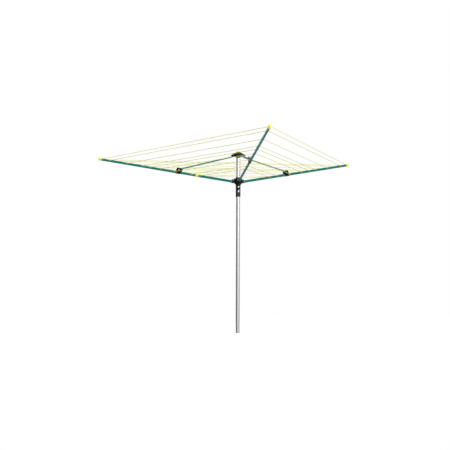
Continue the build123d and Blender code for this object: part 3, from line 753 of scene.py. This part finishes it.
class BuildStage(bpy.types.Operator):
    """Pale floor, soft lights and the camera"""

    bl_idname = "clothesline.stage"
    bl_label = "Stage"

    def execute(self, context):
        stage = settings()[2]
        self.light_the_room(context.scene, stage)
        self.lay_floor(stage)
        self.set_camera(context.scene, stage)
        return {"FINISHED"}

    def light_the_room(self, scene, stage):
        """White to the camera. The pieces see a room that is darker at the left and low behind."""
        scene.view_settings.view_transform = "Standard"
        world = bpy.data.worlds.new("soft_room")
        world.use_nodes = True
        tree = world.node_tree
        backdrop = tree.nodes["Background"]
        backdrop.inputs["Color"].default_value = (1, 1, 1, 1)
        backdrop.inputs["Strength"].default_value = 1.0
        direction = add_node(tree, "ShaderNodeTexCoord").outputs["Generated"]
        parts = add_node(tree, "ShaderNodeSeparateXYZ", {0: direction})
        across = spread(tree, parts.outputs["X"], -0.9, -0.2, 0.1, 0.5)
        low_cut = spread(tree, parts.outputs["Z"], -0.1, -0.35, 1.0, 0.12)
        level = calculate(tree, "MULTIPLY", across, low_cut)
        sides = (
            ("Y", -0.3, -0.95, 0.35),
            ("Y", 0.88, 0.97, 0.8),
            ("Z", 0.1, 0.9, 0.3),
            ("Z", -0.55, -0.95, 2.0),
        )
        for axis, start, end, gain in sides:
            side = spread(tree, parts.outputs[axis], start, end, 0.0, gain)
            level = calculate(tree, "ADD", level, side)
        walls = add_node(tree, "ShaderNodeBackground", {"Color": (1, 1, 1, 1), "Strength": level})
        seen = add_node(tree, "ShaderNodeLightPath").outputs["Is Camera Ray"]
        sockets = {0: seen, 1: walls.outputs[0], 2: backdrop.outputs[0]}
        mixed = add_node(tree, "ShaderNodeMixShader", sockets).outputs[0]
        tree.links.new(mixed, tree.nodes["World Output"].inputs["Surface"])
        scene.world = world
        lamps = (
            ("key_light", (2.6, -5.2, 3.4), 2.6, stage.key_power),
            ("fill_light", (-4.4, -1.6, 4.2), 1.6, stage.fill_power),
        )
        for name, place, size, power in lamps:
            lamp = bpy.data.lights.new(name, "AREA")
            lamp.shape = "SQUARE"
            lamp.size = size
            lamp.energy = power
            holder = bpy.data.objects.new(name, lamp)
            holder.location = place
            aim = LIGHT_TARGET - Vector(place)
            holder.rotation_euler = aim.to_track_quat("-Z", "Y").to_euler()
            scene.collection.objects.link(holder)

    def lay_floor(self, stage):
        """A round floor that fades out, and that the pieces don't mirror."""
        shape = turned_shape([(0, 0), (1.5, 0), (3, 0), (stage.floor_radius, 0)], 96)
        floor = new_object("floor", close_mesh(shape, "floor"))
        colour = tuple(stage.floor_colour)
        constants = {"Roughness": 0.9, "Specular IOR Level": 0.1}
        constants.update({"Emission Color": (1, 1, 1, 1), "Emission Strength": 0.3})
        material, tree, shader, place = start_finish("floor_paint", colour, 0.0, constants)
        tone = clouded(tree, noise(tree, place, 1.4, 4.0), 0.3, 0.7, colour, 0.99, 1.01)
        tree.links.new(tone, shader.inputs["Base Color"])
        away = add_node(tree, "ShaderNodeVectorMath", {0: place}, operation="LENGTH").outputs["Value"]
        fade = spread(tree, away, stage.fade_start, stage.fade_end, 1.0, 0.0)
        tree.links.new(fade, shader.inputs["Alpha"])
        floor.data.materials.append(material)
        floor.location.z = -0.5 * MM
        floor.visible_glossy = False
        floor.visible_diffuse = False

    def set_camera(self, scene, stage):
        lens = bpy.data.cameras.new("camera")
        lens.lens = stage.camera_lens
        lens.sensor_width = 36.0
        lens.dof.use_dof = False
        camera = bpy.data.objects.new("camera", lens)
        turn_angle, tilt_angle, roll_angle = (radians(angle) for angle in stage.camera_angles)
        turn = Matrix.Rotation(turn_angle, 4, "Z")
        tilt = Matrix.Rotation(tilt_angle, 4, "X")
        roll = Matrix.Rotation(roll_angle, 4, "Z")
        camera.matrix_world = Matrix.Translation(stage.camera_place) @ turn @ tilt @ roll
        scene.collection.objects.link(camera)
        scene.camera = camera


class BuildPole(bpy.types.Operator):
    """Galvanised pole with its plugs, spindle and washers"""

    bl_idname = "clothesline.pole"
    bl_label = "Pole"

    def execute(self, context):
        paint_cad("pole", "pole_foot_plug", "pole_top_plug", "head_spindle")
        paint_cad("thrust_washer", "spindle_washer", "spindle_nut")
        return {"FINISHED"}


def cap_screw_spots(height):
    """Where the top cap's screws stand, at a height."""
    spots = []
    for turn in ARM_TURNS.values():
        angle = radians(turn + CAP_SCREW_TURN)
        spots.append((CAP_SCREW_CIRCLE * cos(angle), CAP_SCREW_CIRCLE * sin(angle), height))
    return spots


class BuildHead(bpy.types.Operator):
    """Carrier on which the struts hang, and its weather cap with screw posts and ribs"""

    bl_idname = "clothesline.head"
    bl_label = "Upper carrier and top cap"

    def execute(self, context):
        soften("top_carrier", "carrier", "black_plastic", "head")
        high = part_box("top_cap")[1]
        brim = high.x
        crown = high.z
        rim = crown - 36 * MM
        inner_brim = brim - 2.2 * MM
        steps = ((0, 0), (18, 0), (22, -6.2), (30, -9.6), (31, -11), (58, -25))
        outside = outline_in_mm(steps, crown) + [(brim, crown - 31 * MM), (brim, rim)]
        inside = [(inner_brim, rim), (inner_brim, crown - 31.8 * MM)]
        inside += outline_in_mm(((57, -27.4), (20.6, -7.4), (17, -2.6), (0, -2.6)), crown)
        radii = [0, 2.2, 1.4, 0.8, 0.8, 6, 3, 0.8, 0.8, 1.2, 6, 2, 2, 0]
        outline = rounded_outline(outside + inside, [radius * MM for radius in radii])
        mesh = close_mesh(turned_shape(outline, 128), "top_cap_shell", 40)
        hand_over(new_object("top_cap_shell", mesh), "black_plastic", "head", "top_cap")
        self.add_posts(crown)
        self.add_ribs(crown)
        return {"FINISHED"}

    def add_posts(self, crown):
        """Three tubes that stand on the carrier and take the cap's screws."""
        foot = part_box("top_carrier")[0].z + 4 * MM
        height = (crown - foot) / MM - 7
        post = outline_in_mm(((1.52, 0), (3.0, 0), (3.6, 0.6), (3.8, height), (1.52, height)), foot)
        mesh = close_mesh(turned_shape(post, 24, closed=True), "post")
        places = [(spot, (0, 0, 1), (1, 0, 0)) for spot in cap_screw_spots(0)]
        copies("top_cap_posts", mesh, places, "black_plastic", "head", "top_cap")

    def add_ribs(self, crown):
        """Thin ribs under the brim, between the struts."""
        corners = ((29.5, -13.0), (56.0, -27.6), (56.0, -29.4), (29.5, -19.0))
        profile = outline_in_mm(corners, crown)
        half = 0.6 * MM
        shape = lofted_shape([[(x, y, z) for x, z in profile] for y in (-half, half)])
        mesh = close_mesh(shape, "rib")
        places = []
        for turn in ARM_TURNS.values():
            for step in (30, 60, 90):
                angle = radians(turn + step)
                places.append(((0, 0, 0), (0, 0, 1), (cos(angle), sin(angle), 0)))
        copies("top_cap_ribs", mesh, places, "black_plastic", "head", "top_cap")


class BuildArms(bpy.types.Operator):
    """Painted arm tubes and struts, the tubes' moulded roots, and the struts' brackets"""

    bl_idname = "clothesline.arms"
    bl_label = "Arms and struts"

    def execute(self, context):
        for number in ARM_TURNS:
            paint_cad(f"arm_tube_{number}", f"strut_{number}")
        for node, name in (("arm_root", "root"), ("strut_bracket", "bracket")):
            for number in ARM_TURNS:
                body = f"arm_{number}"
                soften(f"{node}_{number}", f"{name}_{number}", "black_plastic", body)
        return {"FINISHED"}


CAP_WALL = 1.8 * MM


class BuildEndCaps(bpy.types.Operator):
    """Yellow caps on the arm ends, which carry the outermost loop"""

    bl_idname = "clothesline.end_caps"
    bl_label = "End caps"

    def execute(self, context):
        for number in ARM_TURNS:
            name = f"end_cap_{number}"
            body = self.loft(name)
            body.transform(arm_place(number, CAP_MOUTH_RADIUS))
            cutter = self.line_hole()
            hole_radius = hole_point(LOOP_CORNERS[-1]).x
            cutter.transform(arm_place(number, hole_radius) @ Matrix.Rotation(pi / 2, 4, "X"))
            piece = new_object(name, boolean_cut(body, cutter, name))
            hand_over(piece, "yellow_plastic", f"arm_{number}", f"arm_end_cap_{number}")
        return {"FINISHED"}

    def loft(self, name):
        """Closed cap along X, from its mouth to its domed tip, hollow for the tube."""
        sizes = settings()[1]
        length = (TIP_RADIUS - CAP_MOUTH_RADIUS) / AXIS.x
        bottom = length - 6.5 * MM
        gap = 0.02 * MM
        groove = sizes.grip_groove
        dome = sizes.cap_dome
        steps = [(bottom, gap), (0.6 * MM, gap), (0, 0.5 * MM), (0, CAP_WALL - 0.5 * MM)]
        steps += [(0.15 * MM, CAP_WALL - 0.15 * MM), (0.5 * MM, CAP_WALL)]
        for start in (4.0, 7.0, 10.0):
            start *= MM
            steps += [(start, CAP_WALL), (start + 0.4 * MM, CAP_WALL - groove)]
            steps += [(start + 1.2 * MM, CAP_WALL - groove), (start + 1.6 * MM, CAP_WALL)]
        for step in range(9):
            angle = radians(10 * step)
            steps.append((length - dome + dome * sin(angle), CAP_WALL - dome * (1 - cos(angle))))
        steps.append((length, CAP_WALL - dome - 1.0 * MM))
        rings = []
        for along, grow in steps:
            width = ARM_WIDTH + 2 * grow
            height = ARM_HEIGHT + 2 * grow
            section = tube_section(width, height, max(ARM_CORNER + grow, 0.3 * MM))
            rings.append([(along, side, above) for side, above in section])
        return close_mesh(lofted_shape(rings), name)

    def line_hole(self):
        """Cutter for the line's hole, flared at both sides of the cap."""
        reach = ARM_WIDTH / 2 + CAP_WALL
        outline = [(0, -reach - 2 * MM), (4.2 * MM, -reach - 2 * MM), (3.4 * MM, -reach)]
        outline += [(2.6 * MM, -reach + 0.6 * MM), (2.2 * MM, -reach + 1.6 * MM)]
        outline += [(radius, -height) for radius, height in outline[::-1]]
        return close_mesh(turned_shape(outline, 32), "line_hole")


class BuildEyelets(bpy.types.Operator):
    """Eyelets where the lines pass through the arm tubes, and the clip on the inner loops"""

    bl_idname = "clothesline.eyelets"
    bl_label = "Line clip and eyelets"

    def execute(self, context):
        soften("line_clip", "yellow_clip", "yellow_plastic", "arm_3")
        barrel = ((2.2, -1.8), (2.95, -1.8), (2.95, 0), (4.6, 0))
        lip = ((4.6, 0.7), (3.9, 1.2), (2.9, 1.2), (2.2, 0.5))
        outline = outline_in_mm(barrel + lip)
        radii = [0, 0, 0, 0, 0.25 * MM, 0.4 * MM, 0.4 * MM, 0.5 * MM]
        ring = turned_shape(rounded_outline(outline, radii, closed=True), 24, closed=True)
        mesh = close_mesh(ring, "eyelet")
        for number in ARM_TURNS:
            turn = arm_turn(number)
            along = turn @ Vector((AXIS.x, 0, AXIS.y))
            places = []
            for corner in LOOP_CORNERS[:-1]:
                for side in (-1, 1):
                    point = hole_point(corner) + Vector((0, side * ARM_WIDTH / 2, 0))
                    places.append((turn @ point, turn @ Vector((0, side, 0)), along))
            name = f"eyelets_{number}"
            copies(name, mesh, places, "eyelet_plastic", f"arm_{number}", f"line_{name}")
        return {"FINISHED"}


def rivet_mesh(name, shank, grip, head, height):
    """Rivet along Z: a domed head at one end, a flatter closed head at the other."""
    outline = [(0, grip + height)]
    for step in range(75, 0, -15):
        angle = radians(step)
        outline.append((head * cos(angle), grip + height * sin(angle)))
    outline += [(head, grip + 0.12 * height), (head, grip), (shank, grip)]
    outline += [(shank, -grip), (head * 0.92, -grip), (head * 0.92, -grip - height * 0.55)]
    outline += [(head * 0.78, -grip - height * 0.8), (head * 0.45, -grip - height * 0.8)]
    outline += [(head * 0.36, -grip - height * 0.45), (0, -grip - height * 0.45)]
    return close_mesh(turned_shape(outline, 32), name)


def screw_mesh(name, shank, grip, head, height):
    """Pan-head screw along Z, with a cross recess."""
    top = grip + height
    outline = [(0, top), (head * 0.55, top), (head * 0.86, top - height * 0.2)]
    outline += [(head, top - height * 0.55), (head, grip), (shank, grip), (shank, -top)]
    outline += [(0, -top)]
    body = close_mesh(turned_shape(outline, 32), name)
    arm_long = head * 0.55
    arm_wide = head * 0.14
    cross = []
    for quarter in range(4):
        angle = quarter * pi / 2
        for x, y in ((arm_wide, arm_wide), (arm_wide, arm_long), (-arm_wide, arm_long)):
            cross.append((x * cos(angle) - y * sin(angle), x * sin(angle) + y * cos(angle)))
    low = [(x * 0.7, y * 0.7, top - height * 0.7) for x, y in cross]
    high = [(x * 1.1, y * 1.1, top + height * 0.3) for x, y in cross]
    shape = lofted_shape((low, high))
    return boolean_cut(body, close_mesh(shape, "cross"), name)


def pin_place(number, box_of_pin):
    """A cross pin's middle and directions, from its box on an arm along +X."""
    low, high = box_of_pin
    turn = arm_turn(number)
    return (turn @ ((low + high) / 2), turn @ Vector((0, 1, 0)), turn @ Vector((1, 0, 0)))


class BuildFasteners(bpy.types.Operator):
    """Rivets and screws of the joints"""

    bl_idname = "clothesline.fasteners"
    bl_label = "Rivets and screws"

    def execute(self, context):
        self.rivets("carrier_pins", "head", CARRIER_PINS, 3.0 * MM, 2.2 * MM)
        self.rivets("hub_pins", "hub", HUB_PINS, 3.5 * MM, 2.5 * MM)
        for number in ARM_TURNS:
            body = f"arm_{number}"
            for node, shank, height in (
                (f"bracket_pin_{number}", 3.0 * MM, 2.2 * MM),
                (f"arm_root_rivet_{number}", 2.5 * MM, 1.6 * MM),
            ):
                self.rivets(node, body, {number: box_of(node_points(node, number))}, shank, height)
            self.screw(f"bracket_screw_{number}", body, number)
        self.cap_screws()
        return {"FINISHED"}

    def rivets(self, node, body, boxes, shank, height):
        """Rivets of one size, in the boxes that the CAD pins fill."""
        low, high = next(iter(boxes.values()))
        head = (high.x - low.x) / 2
        grip = (high.y - low.y) / 2 - height
        mesh = rivet_mesh("rivet", shank, grip, head, height)
        places = [pin_place(number, box) for number, box in boxes.items()]
        copies(f"{node}_turned", mesh, places, "zinc_steel", body, node)

    def screw(self, node, body, number):
        """A cross screw with its nut."""
        low, high = box_of(node_points(node, number))
        shank = 2.0 * MM
        height = 1.6 * MM
        head = (high.x - low.x) / 2
        grip = (high.y - low.y) / 2 - height
        places = [pin_place(number, (low, high))]
        screw = screw_mesh("screw", shank, grip, head, height)
        nut = self.nut(shank + 0.02 * MM, grip, head, height)
        copies(f"{node}_turned", screw, places, "zinc_steel", body, node)
        copies(f"{node}_nut", nut, places, "zinc_steel", body, node)

    def nut(self, bore, grip, across, height):
        """Hexagon nut, chamfered at its outer side."""
        corner = across * 1.05
        outline = [(bore, -grip), (corner, -grip), (corner, -grip - height * 0.8)]
        outline += [(across * 0.92, -grip - height), (bore, -grip - height)]
        return close_mesh(turned_shape(outline, 6, closed=True), "nut", 25)

    def cap_screws(self):
        """Screws that hold the top cap, with their heads below."""
        low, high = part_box("cap_screws")
        head_height = 2.0 * MM
        length = (high.z - low.z - head_height) / 2
        mesh = screw_mesh("cap_screw", 1.5 * MM, length, 3.0 * MM, head_height)
        spots = cap_screw_spots(low.z + head_height + length)
        places = [(spot, (0, 0, -1), (1, 0, 0)) for spot in spots]
        copies("cap_screws_turned", mesh, places, "zinc_steel", "head", "cap_screws")


# Direction in which a span of line gives way when the arms fold, as (out, side, up).
GIVE = Vector((-0.0593, 0.9500, 0.3069)).normalized()


class BuildLines(bpy.types.Operator):
    """Drying line: nine loops, each in two half spans and a crossing on every arm"""

    bl_idname = "clothesline.lines"
    bl_label = "Drying lines"

    def execute(self, context):
        for number in ARM_TURNS:
            turn = arm_turn(number)
            crossings = []
            for loop, corner in enumerate(LOOP_CORNERS, start=1):
                hole = hole_point(corner)
                mouths = {}
                for side in (1, -1):
                    bend = hole + Vector((0, side * LINE_BEND_SIDE, 0))
                    along = Vector((-cos(SPAN_SLANT), side * sin(SPAN_SLANT), 0))
                    start = bend + along * LINE_BEND_RADIUS * tan(SPAN_SLANT)
                    run = corner * cos(SPAN_SLANT) - LINE_BEND_SIDE / sin(SPAN_SLANT)
                    end = bend + along * (run - MID_SPAN_GAP)
                    mouths[side] = (start, bend)
                    name = f"line_{number}_{loop}_{'left' if side > 0 else 'right'}"
                    piece = line_piece(name, [[turn @ start, turn @ end]], number)
                    give = Vector((GIVE.x, side * GIVE.y, GIVE.z))
                    self.share_kept(start, end, give)
                    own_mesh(piece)
                path = [mouths[1][0], mouths[1][1], mouths[-1][1], mouths[-1][0]]
                crossings.append([turn @ point for point in path])
            line_piece(f"line_crossings_{number}", crossings, number)
        return {"FINISHED"}

    def share_kept(self, start, end, give):
        """Share of a span's reach to keep, so that its end meets its neighbour's when folded."""
        joints = [joint for joint in frame["joints"] if "range_deg" in joint]
        limits = {joint["name"]: joint["range_deg"][1] for joint in joints}
        swing = radians(limits["fold"])
        travel = 2 * limits["fold"] / limits["arm_1_fold"]
        low, high = HUB_PINS[1]
        pivot = (low + high) / 2
        span = end - start
        # The folded end moves in a straight line as the share given up grows from 0 to 1.
        taken = give * span.dot(give)

        def gap(point):
            offset = point - pivot
            out = pivot.x + offset.x * cos(swing) - offset.z * sin(swing)
            return abs(point.y) - out * tan(2 * SPAN_SLANT)

        full = gap(end)
        slope = gap(end - taken) - full
        given_up = -full / slope
        return max(0.02, min(1.0, 1 - given_up / travel))


class BuildRunner(bpy.types.Operator):
    """Hub on which the arms turn, and the runner below it with its lock lever"""

    bl_idname = "clothesline.runner"
    bl_label = "Hub and runner"

    def execute(self, context):
        soften("hub", "arm_hub", "black_plastic", "hub")
        paint_cad("runner_sleeve", "runner_bush_upper", "runner_bush_lower", "hub_retainer")
        paint_cad("lock_lever", "lock_lever_pin", "lock_spring")
        return {"FINISHED"}


OPERATORS = (
    BuildStage,
    BuildPole,
    BuildHead,
    BuildArms,
    BuildEndCaps,
    BuildEyelets,
    BuildFasteners,
    BuildLines,
    BuildRunner,
)


class ClotheslinePanel(bpy.types.Panel):
    """Buttons for each group of pieces, and their settings"""

    bl_idname = "VIEW3D_PT_clothesline"
    bl_label = "Rotary clothesline"
    bl_space_type = "VIEW_3D"
    bl_region_type = "UI"
    bl_category = "Clothesline"

    def draw(self, context):
        for group in settings():
            box = self.layout.box()
            for name in group.bl_rna.properties.keys():
                if name not in {"rna_type", "name"}:
                    box.prop(group, name)
        for operator in OPERATORS:
            self.layout.operator(operator.bl_idname)


GROUPS = {
    "clothesline_finishes": ClotheslineFinishes,
    "clothesline_sizes": ClotheslineSizes,
    "clothesline_stage": ClotheslineStage,
}
CLASSES = (*GROUPS.values(), *OPERATORS, ClotheslinePanel)


def register():
    """Registers the classes and the scene's settings."""
    for item in CLASSES:
        bpy.utils.register_class(item)
    for name, group in GROUPS.items():
        setattr(bpy.types.Scene, name, bpy.props.PointerProperty(type=group))


def unregister():
    """Removes the settings and the classes."""
    for name in GROUPS:
        delattr(bpy.types.Scene, name)
    for item in reversed(CLASSES):
        bpy.utils.unregister_class(item)


def main():
    """Builds every piece."""
    register()
    for operator in OPERATORS:
        group, name = operator.bl_idname.split(".")
        getattr(getattr(bpy.ops, group), name)()


if __name__ == "__main__":
    main()
